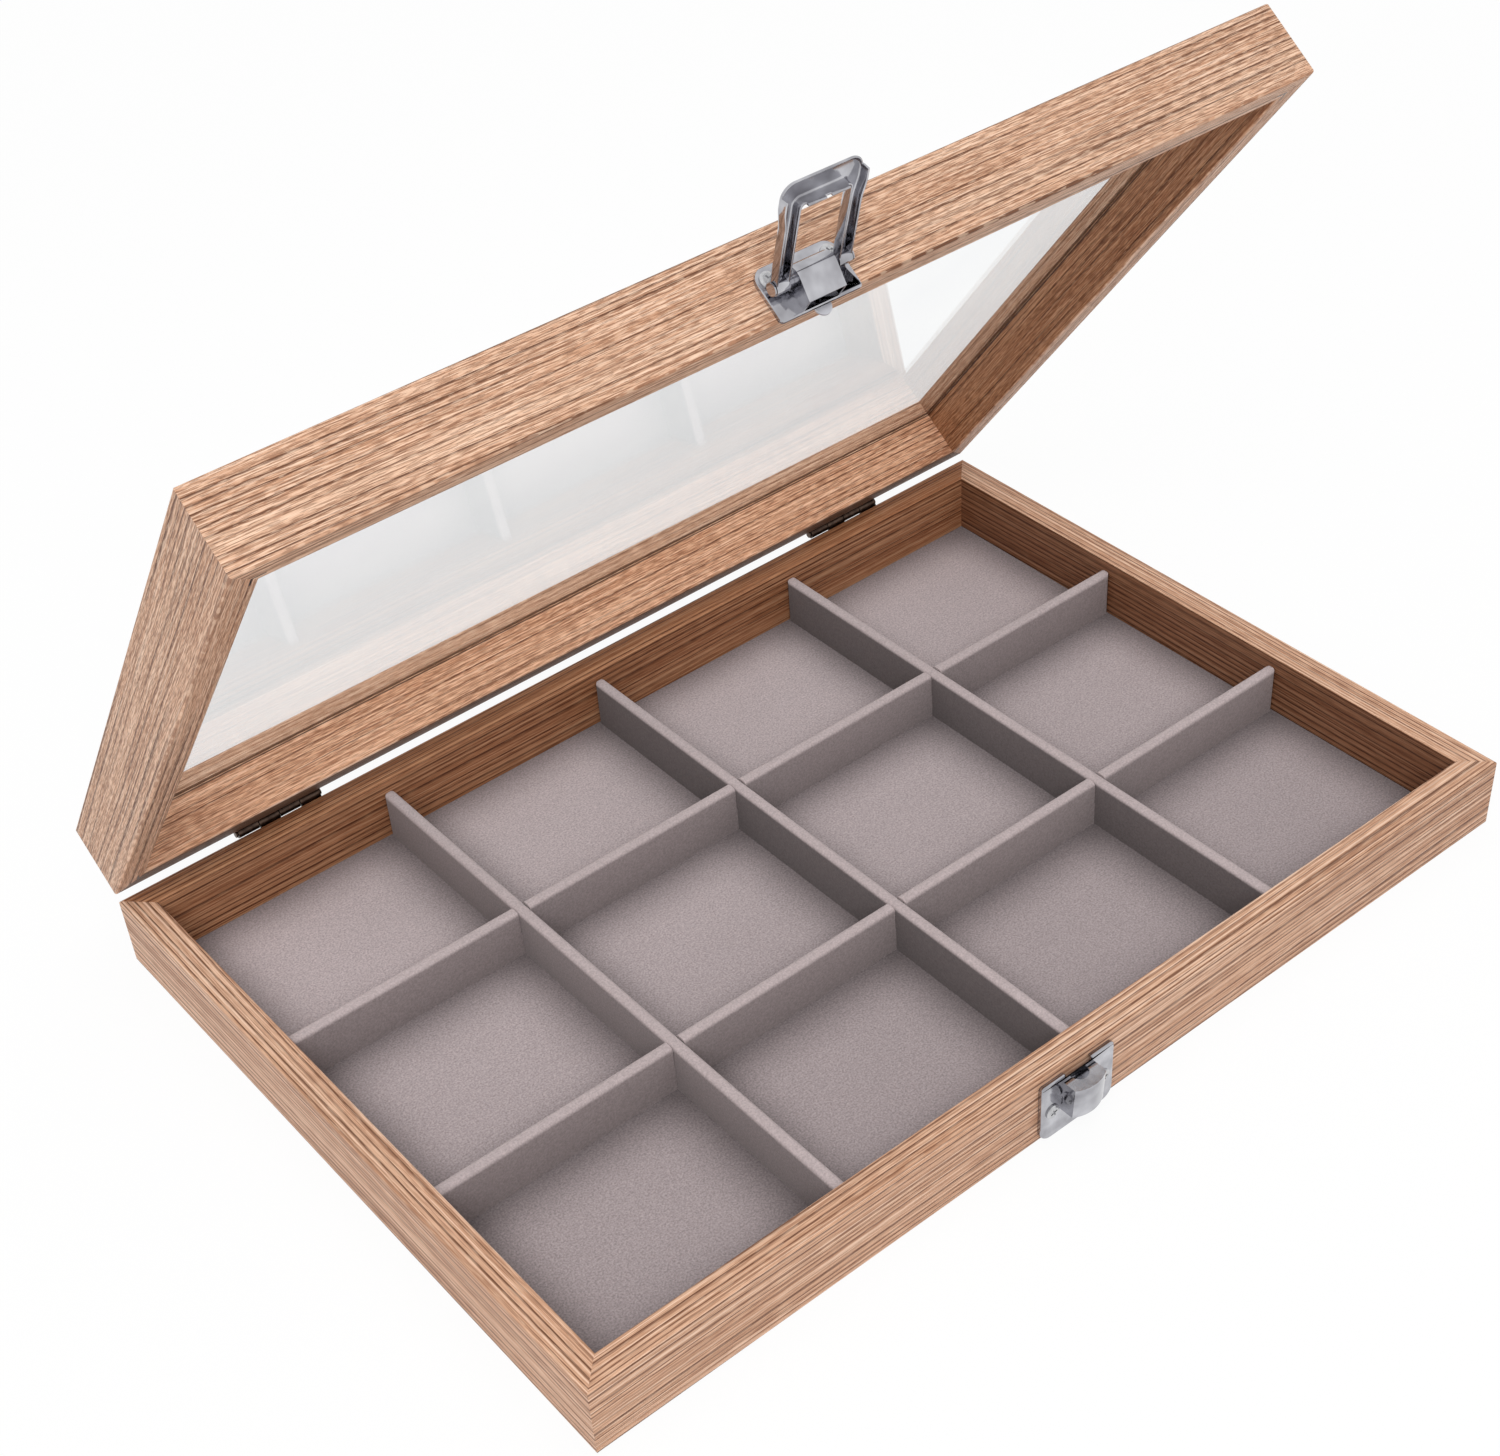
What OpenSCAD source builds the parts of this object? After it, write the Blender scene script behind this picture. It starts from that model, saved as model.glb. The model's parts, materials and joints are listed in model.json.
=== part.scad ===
/* [Tray] */
// Width of the box, along the hinge line
box_w = 350; // [300:1:420]
// Depth of the box, front to back
box_d = 240; // [200:1:300]
// Height of the tray frame
tray_h = 25; // [22:0.5:32]
// Thickness of the frame rails
rail_t = 9; // [8:0.5:12]
// Radius of the eased long edges of the rails
edge_r = 0.8; // [0.4:0.1:1.5]
// Thickness of the bottom panel
bottom_t = 2.4; // [1.5:0.1:3]
// Depth of the rebate that takes the bottom panel
rebate_d = 5; // [3:0.5:6]
// Gap round the edge of a panel in its rebate or groove
panel_gap = 0.3; // [0.2:0.1:0.6]
// Thickness of the velvet-covered floor board
pad_t = 1.8; // [0.8:0.1:2.4]
// Gap between the rails and the velvet-covered boards
board_gap = 0.3; // [0.2:0.1:0.6]

/* [Dividers] */
// Thickness of a velvet-covered divider board
divider_t = 4; // [3:0.5:5]
// How far the divider tops lie below the tray's rim
divider_drop = 4; // [2:0.5:6]
// Radius of the rounded edges of a divider's top and ends
divider_r = 1.4; // [0.8:0.1:1.4]
// Gap between crossing dividers, on each side of a slot
lap_gap = 0.15; // [0.1:0.05:0.3]

/* [Lid] */
// Height of the lid frame
lid_h = 24; // [22:0.5:32]
// Gap between the two rims when the lid is shut
rim_gap = 0.3; // [0.2:0.1:0.6]
// Thickness of the glass pane
glass_t = 2; // [1.8:0.1:3]
// How far the glass and its groove lie below the lid's outer rim
glass_drop = 5.1; // [4:0.1:6]
// Depth of the groove that holds the glass
groove_d = 4; // [3:0.5:5]
// Room above the glass in its groove
groove_room = 0.2; // [0.1:0.1:0.4]
// Opening angle of the lid in the pose shown
lid_open = 52.9; // [0:0.1:110]

/* [Corner nails] */
// Length of each wing of a corner nail
nail_wing = 4; // [3:0.5:4.5]
// Thickness of a corner nail
nail_t = 0.5; // [0.4:0.1:0.8]
// How far a corner nail goes into the wood
nail_depth = 7; // [5:0.5:9]
// Distance of a nail's apex from the inner corner, along both rails
nail_apex = 2.4; // [2:0.1:3.5]
// Gap between a nail and its slot
nail_gap = 0.05; // [0.03:0.01:0.1]

/* [Hinges] */
// Distance of each hinge's middle from the nearer side of the box
hinge_side = 57.5; // [40:0.5:80]
// Width of a hinge along its pin
hinge_w = 29.6; // [24:0.2:36]
// Height of a hinge leaf, measured from the pin
leaf_h = 14; // [12:0.5:17]
// Thickness of a hinge leaf
leaf_t = 0.8; // [0.6:0.1:1]
// Distance of the pin behind the box
hinge_out = 2; // [1.9:0.1:2.5]
// Outer radius of the knuckles
knuckle_r = 1.6; // [1.5:0.1:1.7]
// Radius of a hinge pin
hinge_pin_r = 0.7; // [0.6:0.1:0.8]
// Radius of a hinge pin's heads
hinge_rivet_r = 1.1; // [1:0.1:1.4]
// Thickness of a hinge pin's heads
hinge_rivet_t = 0.4; // [0.3:0.1:0.6]
// Running clearance round a hinge pin or the bail's pin
pin_gap = 0.05; // [0.03:0.01:0.08]
// Gap between neighbouring knuckles
knuckle_gap = 0.3; // [0.2:0.1:0.5]
// Gap between a knuckle and the notch it turns in
notch_gap = 0.4; // [0.3:0.1:0.8]
// Distance of the hinge screws from the hinge's middle
hinge_screw_x = 9; // [7:0.5:11]
// Distance of the hinge screws from the pin
hinge_screw_z = 8.5; // [7:0.5:10]

/* [Latch] */
// Place of the latch along the front, from the box's middle
latch_x = -8; // [-40:1:40]
// Thickness of the latch's sheet metal
sheet_t = 0.6; // [0.5:0.1:0.8]
// How far a plate's rolled rim stands out from the wood
plate_rim = 1.5; // [1.2:0.1:2]
// Width of the lid plate
lid_plate_w = 26.4; // [25:0.2:30]
// Height of the lid plate
lid_plate_h = 15.2; // [14:0.2:18]
// How far the lid plate hangs below the lid's rim
lid_plate_drop = 1.1; // [0.5:0.1:2]
// Radius of the lid plate's upper corners
lid_plate_r = 4; // [3:0.5:6]
// Radius of the plates' corners that face each other
plate_r = 1.2; // [0.8:0.1:2]
// Distance of the latch screws from the latch's middle, on both plates
latch_screw_x = 9.8; // [9.5:0.1:10.5]
// Height of the lid plate's screws above the lid's rim
lid_screw_z = 10.3; // [9.8:0.1:11]
// Height of the bail's pin above the lid's rim
pivot_z = 6.8; // [6:0.1:7.5]
// Distance of the bail's pin from the front of the box
pivot_out = 4.5; // [4.3:0.1:5]
// Radius of the bail's pin
bail_pin_r = 1; // [0.8:0.1:1.2]
// Width of the spring housing
housing_w = 12; // [10:0.5:13]
// Radius of the housing round the bail's pin
housing_r = 3.6; // [3:0.1:4]
// How far the housing's mouth stands out from the front of the box
mouth_out = 5.6; // [5:0.1:6.5]
// Height of the housing's mouth above the lid's rim
mouth_z = -0.4; // [-0.8:0.1:0.5]
// Height on the lid plate at which the housing's back slope starts
housing_top = 10.9; // [10.4:0.1:12]
// Radius of the housing's upper corners, seen from the front
shoulder_r = 2.5; // [1.5:0.1:3]
// Half the width of the locating nose and the radius of its end
nose_r = 2.6; // [2.2:0.1:3]
// How far the nose reaches below the lid's rim
nose_drop = 3.6; // [2.8:0.1:4]
// Height of the nose's upper end above the lid's rim
nose_top = 4; // [2:0.1:5]
// Gap on each side of the nose in its slot
nose_gap = 0.1; // [0.05:0.01:0.3]
// Thickness of the leaf spring
spring_t = 0.3; // [0.2:0.05:0.4]
// Width of the leaf spring
spring_w = 6; // [4:0.5:8]
// Height of the leaf spring's lower foot above the lid's rim
spring_low = 4.1; // [3.9:0.1:4.5]
// Height of the leaf spring's upper end above the lid's rim
spring_high = 9.8; // [9:0.1:10.2]
// Half the height of the leaf spring's flat against the pin
spring_flat = 0.8; // [0.4:0.1:1]
// Height of the tabs that hold the housing and the hook in their plates
tab_h = 2.4; // [1.6:0.1:3]
// How far a tab reaches behind its plate
tab_reach = 0.4; // [0.2:0.1:0.5]
// How far the lower edge of the housing's tabs lies below the bail's pin
housing_tab_drop = 1.2; // [0.8:0.1:1.6]
// Radius of the heads of the latch's pins
rivet_r = 1.8; // [1.3:0.1:1.9]
// Thickness of the heads of the latch's pins
rivet_t = 0.4; // [0.3:0.1:0.6]
// Gap between the bail and the heads of its pin
rivet_gap = 0.15; // [0.1:0.05:0.3]

/* [Bail] */
// Gap between the housing and an arm of the bail
arm_gap = 1.8; // [1.2:0.1:2.4]
// Width of an arm
arm_w = 4.4; // [4:0.1:5]
// Length of the bail from its pin to its far end
bail_l = 30.2; // [29.2:0.1:30.6]
// Radius of the window's corners in the bail
window_r = 1.2; // [0.8:0.1:2]
// Width of the cross bar at the far end
bar_w = 6.1; // [5:0.1:7.6]
// Radius of the far corners
bail_corner_r = 4.5; // [3:0.1:5]
// Distance of the bail's outer face from its pin's axis
bail_face = 2; // [1.8:0.1:2.4]
// Depth of the flanges along the arms
arm_flange = 3.3; // [2.6:0.1:3.6]
// Length over which a flange fades out at the far end
flange_fade = 4; // [2:0.5:6]
// How far the sides flare out towards the far end
flare = 0.9; // [0.4:0.1:1.6]
// Distance from the pin at which the flare starts
flare_start = 17.5; // [16:0.5:19]
// Distance from the pin at which the flare ends
flare_end = 24; // [22:0.5:24]
// Depth of the lip that catches under the hook
lip_depth = 4.3; // [3:0.1:4.5]
// Width of the small notch in the lip's edge
lip_notch_w = 1.6; // [1:0.1:3]
// Depth of the small notch in the lip's edge
lip_notch_d = 0.8; // [0.4:0.1:1.2]
// Radius of the eyes round the pin
eye_r = 2; // [1.8:0.1:2.1]
// Angle of the bail from the shut position, in the pose shown
bail_open = 112; // [0:1:150]

/* [Keeper] */
// Width of the keeper plate
keeper_w = 28; // [26:0.2:30]
// Height of the keeper plate's lower edge above the table
keeper_z = 0.3; // [0.3:0.1:2]
// How far the keeper plate's top lies below the tray's rim
keeper_drop = 3; // [2:0.1:4]
// Radius of the keeper plate's lower corners
keeper_low_r = 4; // [2:0.5:5]
// Width of the notch in the keeper plate's top
keeper_notch_w = 10; // [8:0.2:11]
// Depth of the notch in the keeper plate's top
keeper_notch_d = 1.2; // [0.8:0.1:1.6]
// How far the keeper's screws lie below the tray's rim
keeper_screw_drop = 14.2; // [13:0.2:15]
// Gap between a side of the hook and the shut bail's arm
hook_side_gap = 1.8; // [1:0.1:2.4]
// How far the hook's middle stands out at its top
hook_out = 8.1; // [7.5:0.1:8.4]
// How far the hook's sides stand out at its top
hook_side_out = 6.3; // [5.8:0.1:7]
// How much the hook's front draws in from top to bottom
hook_taper = 0.8; // [0.4:0.1:2]
// How far the hook's top lies below the tray's rim
hook_drop = 5.2; // [5:0.1:5.5]
// Gap between the shut bail's lip and the hook's lower edge
hook_gap = 0.4; // [0.3:0.1:0.8]
// Radius of the half-round hole in the hook's top
hook_hole_r = 3; // [2:0.1:3.2]
// Radius of the hook's cross pin
keeper_pin_r = 0.9; // [0.7:0.1:1.1]
// Distance of the cross pin from the front of the box
keeper_pin_out = 3.6; // [3.4:0.1:4]
// How far the cross pin lies below the tray's rim
keeper_pin_drop = 9.8; // [9.2:0.1:10.5]
// How far the lower edge of the hook's tabs lies below the cross pin
hook_tab_drop = 4; // [3.6:0.1:4.4]

/* [Screws] */
// Radius of the heads of the latch screws
screw_head_r = 2.4; // [2:0.1:2.6]
// Height of a screw head
screw_head_h = 0.8; // [0.6:0.1:1]
// Radius of a screw's shank
screw_r = 1.1; // [0.9:0.1:1.3]
// Length of a screw's shank below its head
screw_l = 7; // [5:0.5:7.5]
// Radius of the heads of the hinge screws
hinge_head_r = 2; // [1.8:0.1:2.4]
// Radius of a screw head's flat top as a share of the head's radius
head_flat = 0.7; // [0.5:0.05:0.9]
// Width of a screw's cross recess
recess_w = 0.55; // [0.4:0.05:0.7]
// Length of a screw's cross recess
recess_l = 2.4; // [1.8:0.1:2.6]
// Depth of a screw's cross recess
recess_d = 0.5; // [0.3:0.05:0.55]
// Gap between a screw's shank and its hole
screw_gap = 0.05; // [0.02:0.01:0.1]

/* [Hidden] */
$fn = 48;
eps = 0.01;
columns = 4;
rows = 3;
knuckles = 4;

inner_w = box_w - 2 * rail_t;
inner_d = box_d - 2 * rail_t;
pad_top = bottom_t + pad_t;
divider_h = tray_h - divider_drop - pad_top;
lap_z = pad_top + divider_h / 2;
pitch_x = (inner_w + divider_t) / columns;
pitch_y = (inner_d + divider_t) / rows;
lid_z = tray_h + rim_gap;
groove_h = glass_t + groove_room;
glass_z = lid_h - glass_drop - groove_h;

hinge_x = box_w / 2 - hinge_side;
hinge_y = box_d / 2 + hinge_out;
hinge_z = tray_h + rim_gap / 2;
knuckle_w = (hinge_w - (knuckles - 1) * knuckle_gap) / knuckles;
pilot_r = screw_r + screw_gap;
tray_nail_apex = (rail_t + rebate_d) / 2;

bail_in = bail_l - bar_w;
arm_x = housing_w / 2 + arm_gap;
bail_w = 2 * (arm_x + arm_w);
keeper_h = tray_h - keeper_drop - keeper_z;
keeper_screw_z = tray_h - keeper_screw_drop;
keeper_pin_z = tray_h - keeper_pin_drop;
hook_top = tray_h - hook_drop;
hook_bottom = lid_z + pivot_z - bail_in + hook_gap;
hook_w = 2 * (arm_x - hook_side_gap);
hook_sag = hook_out - hook_side_out;
hook_r = (hook_w * hook_w / 4 + hook_sag * hook_sag) / (2 * hook_sag);
hook_tilt = atan(hook_taper / (hook_top - hook_bottom));
housing_tab_z = pivot_z - housing_tab_drop;
hook_tab_z = keeper_pin_z - hook_tab_drop;

// Colours of the finishes
oak = [0.79, 0.64, 0.51];
velvet = [0.55, 0.51, 0.50];
board = [0.45, 0.34, 0.24];
bronze = [0.30, 0.22, 0.16];
chrome = [0.80, 0.80, 0.82];
steel = [0.55, 0.55, 0.56];
clear = [0.85, 0.90, 0.90, 0.35];

// Shapes shared by several pieces

// Rectangle from its lower left corner, with rounded corners
module eased(w, h, r) {
    translate([r, 0]) square([w - 2 * r, h]);
    translate([0, r]) square([w, h - 2 * r]);
    for (x = [r, w - r], y = [r, h - r])
        translate([x, y]) circle(r);
}

// Turns what is made for the front side to another side of the frame
module on_side(side) {
    rotate([0, 0, 90 * search([side], ["front", "right", "back", "left"])[0]])
        children();
}

// Frame rail along the front, mitred at both ends, its outer face at y = 0
module rail(length, h) {
    intersection() {
        rotate([90, 0, 90])
            linear_extrude(length, center = true) eased(rail_t, h, edge_r);
        linear_extrude(h)
            polygon([
                [-length / 2, 0],
                [length / 2, 0],
                [length / 2 - rail_t, rail_t],
                [-length / 2 + rail_t, rail_t]
            ]);
    }
}

// Rail of a frame, on its side of the box
module rail_on(side, h) {
    along_width = side == "front" || side == "back";
    on_side(side)
        translate([0, along_width ? -box_d / 2 : -box_w / 2, 0])
            rail(along_width ? box_w : box_d, h);
}

// Slab that reaches into all four rails
module inner_slab(reach, h) {
    translate([0, 0, h / 2])
        cube([inner_w + 2 * reach, inner_d + 2 * reach, h], center = true);
}

// L-shaped nails across the four mitres, from the frame's lower face up
module corner_nails(apex, grow = 0) {
    t = nail_t + 2 * grow;
    for (mx = [0, 1], my = [0, 1])
        mirror([mx, 0, 0])
            mirror([0, my, 0])
                translate([-inner_w / 2 - apex, -inner_d / 2 - apex, 0])
                    linear_extrude(nail_depth + grow)
                        translate([-t / 2, -t / 2]) {
                            square([nail_wing + grow, t]);
                            square([t, nail_wing + grow]);
                        }
}

// Pan-head screw with a cross recess, its head's seat at z = 0
module screw(head_r, length) {
    difference() {
        union() {
            cylinder(h = screw_head_h / 2, r = head_r);
            translate([0, 0, screw_head_h / 2])
                cylinder(
                    h = screw_head_h / 2, r1 = head_r, r2 = head_r * head_flat
                );
        }
        for (a = [0, 90])
            rotate([0, 0, a + 20])
                translate([0, 0, screw_head_h])
                    cube([recess_l, recess_w, 2 * recess_d], center = true);
    }
    translate([0, 0, 2 * screw_r - length])
        cylinder(h = length - 2 * screw_r + eps, r = screw_r);
    translate([0, 0, -length])
        cylinder(h = 2 * screw_r + eps, r1 = screw_r / 6, r2 = screw_r);
}

// Puts what is made upright, facing out, on the front of the box
module on_front(z) {
    translate([latch_x, -box_d / 2, z]) rotate([90, 0, 0]) children();
}

// Puts what is made about a hinge pin on both hinges, or on one
module at_hinges(sides = [-1, 1]) {
    for (s = sides)
        translate([s * hinge_x, hinge_y, hinge_z]) children();
}

// Turns what is made for the shut lid to the lid's pose
module lid_pose() {
    translate([0, hinge_y, hinge_z])
        rotate([-lid_open, 0, 0])
            translate([0, -hinge_y, -hinge_z])
                children();
}

// Places of the latch screws on the lid plate and on the keeper
module latch_screw_places(z) {
    for (s = [-1, 1])
        translate([s * latch_screw_x, z, 0]) children();
}

// Places of the two screws of a hinge leaf, below its pin
module leaf_screw_places() {
    for (s = [-1, 1])
        translate([s * hinge_screw_x, leaf_t - hinge_out, -hinge_screw_z])
            rotate([-90, 0, 0])
                children();
}

// Hole for a screw's shank in the wood, its mouth at z = 0
module pilot() {
    translate([0, 0, -screw_l - 2 * screw_gap])
        cylinder(h = screw_l + 2 * screw_gap + plate_rim, r = pilot_r);
}

// The tray

module tray_rail(side) {
    color(oak)
        difference() {
            rail_on(side, tray_h);
            translate([0, 0, -eps]) inner_slab(rebate_d, bottom_t + eps);
            translate([0, 0, -eps]) corner_nails(tray_nail_apex, nail_gap);
            if (side == "front")
                on_front(0)
                    latch_screw_places(keeper_screw_z)
                        translate([0, 0, plate_rim]) pilot();
            if (side == "back")
                at_hinges() leaf_screw_places() pilot();
        }
}

module tray_front_rail() {
    tray_rail("front");
}

module tray_back_rail() {
    tray_rail("back");
}

module tray_left_rail() {
    tray_rail("left");
}

module tray_right_rail() {
    tray_rail("right");
}

module bottom_panel() {
    color(board) inner_slab(rebate_d - panel_gap, bottom_t);
}

module floor_pad() {
    color(velvet)
        translate([0, 0, bottom_t]) inner_slab(-board_gap, pad_t);
}

// Upright board along the width, rounded at its top and ends
module board(length) {
    t = divider_t;
    r = divider_r;
    translate([0, 0, pad_top])
        intersection() {
            rotate([90, 0, 90])
                linear_extrude(length, center = true)
                    translate([-t / 2, 0]) {
                        square([t, divider_h - r]);
                        translate([r, 0]) square([t - 2 * r, divider_h]);
                        for (x = [r, t - r])
                            translate([x, divider_h - r]) circle(r);
                    }
            linear_extrude(divider_h)
                translate([-length / 2, -t / 2]) eased(length, t, r);
        }
}

// Slot for a crossing board, from a height up to another
module lap_slot(low, high) {
    w = divider_t + 2 * lap_gap;
    translate([-w / 2, -divider_t, low])
        cube([w, 2 * divider_t, high - low]);
}

module divider_long(y) {
    color(velvet)
        difference() {
            translate([0, y, 0]) board(inner_w - 2 * board_gap);
            for (i = [-1, 0, 1])
                translate([i * pitch_x, y, 0]) lap_slot(lap_z, tray_h);
        }
}

module divider_short(x) {
    color(velvet)
        difference() {
            translate([x, 0, 0])
                rotate([0, 0, 90]) board(inner_d - 2 * board_gap);
            for (s = [-1, 1])
                translate([x, s * pitch_y / 2, 0])
                    rotate([0, 0, 90]) lap_slot(0, lap_z + lap_gap);
        }
}

module divider_long_front() {
    divider_long(-pitch_y / 2);
}

module divider_long_back() {
    divider_long(pitch_y / 2);
}

module divider_short_left() {
    divider_short(-pitch_x);
}

module divider_short_middle() {
    divider_short(0);
}

module divider_short_right() {
    divider_short(pitch_x);
}

module tray_corner_nails() {
    color(steel) corner_nails(tray_nail_apex);
}

// Pins and hinges

// Round pin along x with a head a gap beyond each end of what it holds
module headed_pin(length, r, gap, head_r, head_t) {
    rotate([0, 90, 0]) {
        cylinder(h = length + 2 * gap, r = r, center = true);
        for (s = [-1, 1])
            translate([0, 0, s * (length / 2 + gap + head_t / 2)])
                cylinder(h = head_t, r = head_r, center = true);
    }
}

// Left end of a knuckle by its number
function knuckle_start(i) = i * (knuckle_w + knuckle_gap) - hinge_w / 2;

// Leaf that hangs below its pin, with notches for the other leaf's knuckles
module hinge_leaf(first) {
    notch = knuckle_r + notch_gap;
    color(bronze)
        difference() {
            union() {
                translate([-hinge_w / 2, -hinge_out, -leaf_h])
                    cube([hinge_w, leaf_t, leaf_h]);
                for (i = [first : 2 : knuckles - 1])
                    translate([knuckle_start(i), 0, 0]) {
                        rotate([0, 90, 0])
                            cylinder(h = knuckle_w, r = knuckle_r);
                        translate([0, -hinge_out, -leaf_t])
                            cube([knuckle_w, hinge_out, leaf_t]);
                    }
            }
            for (i = [1 - first : 2 : knuckles - 1])
                translate([
                    knuckle_start(i) - knuckle_gap, -hinge_out - eps, -notch
                ])
                    cube([
                        knuckle_w + 2 * knuckle_gap,
                        hinge_out + knuckle_r + 2 * eps,
                        notch + knuckle_r + eps
                    ]);
            rotate([0, 90, 0])
                cylinder(
                    h = hinge_w + 2, r = hinge_pin_r + pin_gap, center = true
                );
            leaf_screw_places() pilot();
        }
}

module hinge_pin() {
    color(bronze)
        headed_pin(
            hinge_w, hinge_pin_r, knuckle_gap, hinge_rivet_r, hinge_rivet_t
        );
}

module hinge_left_tray_leaf() {
    at_hinges([-1]) hinge_leaf(1);
}

module hinge_right_tray_leaf() {
    at_hinges([1]) hinge_leaf(1);
}

module hinge_left_pin() {
    at_hinges([-1]) hinge_pin();
}

module hinge_right_pin() {
    at_hinges([1]) hinge_pin();
}

module hinge_screws() {
    color(bronze)
        at_hinges() leaf_screw_places() screw(hinge_head_r, screw_l);
}

module hinge_tray_screws() {
    hinge_screws();
}

// Mirrors what is made below the hinge pins to the lid's side
module above_hinges() {
    translate([0, 0, 2 * hinge_z]) mirror([0, 0, 1]) children();
}

module hinge_left_lid_leaf() {
    lid_pose() above_hinges() at_hinges([-1]) hinge_leaf(0);
}

module hinge_right_lid_leaf() {
    lid_pose() above_hinges() at_hinges([1]) hinge_leaf(0);
}

module hinge_lid_screws() {
    lid_pose() above_hinges() hinge_screws();
}

// The lid

module lid_rail(side) {
    color(oak)
        lid_pose()
            difference() {
                translate([0, 0, lid_z]) rail_on(side, lid_h);
                translate([0, 0, lid_z + glass_z])
                    inner_slab(groove_d, groove_h);
                translate([0, 0, lid_z - eps])
                    corner_nails(nail_apex, nail_gap);
                if (side == "front")
                    on_front(lid_z)
                        latch_screw_places(lid_screw_z)
                            translate([0, 0, plate_rim]) pilot();
                if (side == "back")
                    above_hinges() at_hinges() leaf_screw_places() pilot();
            }
}

module lid_front_rail() {
    lid_rail("front");
}

module lid_back_rail() {
    lid_rail("back");
}

module lid_left_rail() {
    lid_rail("left");
}

module lid_right_rail() {
    lid_rail("right");
}

module glass_pane() {
    color(clear)
        lid_pose()
            translate([0, 0, lid_z + glass_z])
                inner_slab(groove_d - panel_gap, glass_t);
}

module lid_corner_nails() {
    color(steel)
        lid_pose() translate([0, 0, lid_z]) corner_nails(nail_apex);
}

// The latch on the lid, upright with x across, y up and z out of the wood

// Outline of a plate standing on y = 0, drawn in by an inset
module plate_outline(w, h, r_top, r_low, inset = 0) {
    translate([-w / 2 + inset, r_low])
        square([w - 2 * inset, h - r_top - r_low]);
    translate([-w / 2 + r_low, inset])
        square([w - 2 * r_low, h / 2]);
    translate([-w / 2 + r_top, h / 2])
        square([w - 2 * r_top, h / 2 - inset]);
    for (s = [-1, 1]) {
        translate([s * (w / 2 - r_low), r_low]) circle(r_low - inset);
        translate([s * (w / 2 - r_top), h - r_top]) circle(r_top - inset);
    }
}

// Pressed plate with its rim turned back to the wood
module pressed_plate(w, h, r_top, r_low) {
    difference() {
        linear_extrude(plate_rim) plate_outline(w, h, r_top, r_low);
        translate([0, 0, -eps])
            linear_extrude(plate_rim - sheet_t + eps)
                plate_outline(w, h, r_top, r_low, sheet_t);
    }
}

// Two tabs behind the side walls of a box of a width, drawn through a plate
module tabs(w, z, grow = 0) {
    for (s = [-1, 1])
        translate([
            s * (w - sheet_t) / 2 - sheet_t / 2 - grow,
            z - grow,
            plate_face() - sheet_t - tab_reach
        ])
            cube([
                sheet_t + 2 * grow,
                tab_h + 2 * grow,
                sheet_t + tab_reach + (grow > 0 ? 1 : 0)
            ]);
}

// How far the plates' faces stand out from the wood
function plate_face() = plate_rim;

// Point where a line from p touches the circle round c, on the side given
function touch(p, c, r, side) =
    let (d = c - p, l = norm(d), a = atan2(d[1], d[0]) + side * asin(r / l))
    p + sqrt(l * l - r * r) * [cos(a), sin(a)];

// Side view of the housing, out of the wood by up, drawn in by an inset
module housing_profile(inset) {
    c = [pivot_out, pivot_z];
    r = housing_r - inset;
    low = mouth_z - (inset > 0 ? 1 : 0);
    mouth = [mouth_out - inset, low];
    top = [plate_face(), housing_top - inset];
    intersection() {
        union() {
            translate(c) circle(r);
            polygon([
                [plate_face(), low], mouth, touch(mouth, c, r, -1), c,
                touch(top, c, r, 1), top
            ]);
        }
        translate([plate_face(), low - 1]) square([20, 30]);
    }
}

// Extrudes a side view, out by up, across the latch
module across(w) {
    rotate([0, -90, 0]) linear_extrude(w, center = true) children();
}

// Extrudes a plan view, across by out, down from a height
module down(z, h) {
    translate([0, z, 0]) rotate([90, 0, 0]) linear_extrude(h) children();
}

module latch_plate() {
    color(chrome)
        lid_pose()
            on_front(lid_z)
                difference() {
                    translate([0, -lid_plate_drop, 0])
                        pressed_plate(
                            lid_plate_w, lid_plate_h, lid_plate_r, plate_r
                        );
                    translate([-lid_plate_w, -2 * lid_plate_drop, -eps])
                        cube([
                            2 * lid_plate_w, 2 * lid_plate_drop, rim_gap + eps
                        ]);
                    translate([-nose_r - nose_gap, -2 * lid_plate_drop, -eps])
                        cube([
                            2 * (nose_r + nose_gap),
                            3 * lid_plate_drop,
                            plate_face() - sheet_t + eps
                        ]);
                    latch_screw_places(lid_screw_z)
                        translate([0, 0, plate_face()]) pilot();
                    tabs(housing_w, housing_tab_z, nail_gap);
                }
}

// Solid of the housing, its upper corners round, drawn in by an inset
module housing_block(inset) {
    w = housing_w - 2 * inset;
    r = shoulder_r - inset;
    top = housing_top - inset;
    intersection() {
        across(w) housing_profile(inset);
        linear_extrude(2 * housing_r + pivot_out) {
            translate([-w / 2, -housing_r]) square([w, top + housing_r - r]);
            translate([r - w / 2, -housing_r])
                square([w - 2 * r, top + housing_r]);
            for (s = [-1, 1])
                translate([s * (w / 2 - r), top - r]) circle(r);
        }
    }
}

module latch_housing() {
    color(chrome)
        lid_pose()
            on_front(lid_z) {
                difference() {
                    housing_block(0);
                    housing_block(sheet_t);
                    translate([0, pivot_z, pivot_out])
                        rotate([0, 90, 0])
                            cylinder(
                                h = 2 * housing_w,
                                r = bail_pin_r + pin_gap,
                                center = true
                            );
                }
                tabs(housing_w, housing_tab_z);
            }
}

module latch_pin() {
    color(chrome)
        lid_pose()
            on_front(lid_z)
                translate([0, pivot_z, pivot_out])
                    headed_pin(bail_w, bail_pin_r, rivet_gap, rivet_r, rivet_t);
}

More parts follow.
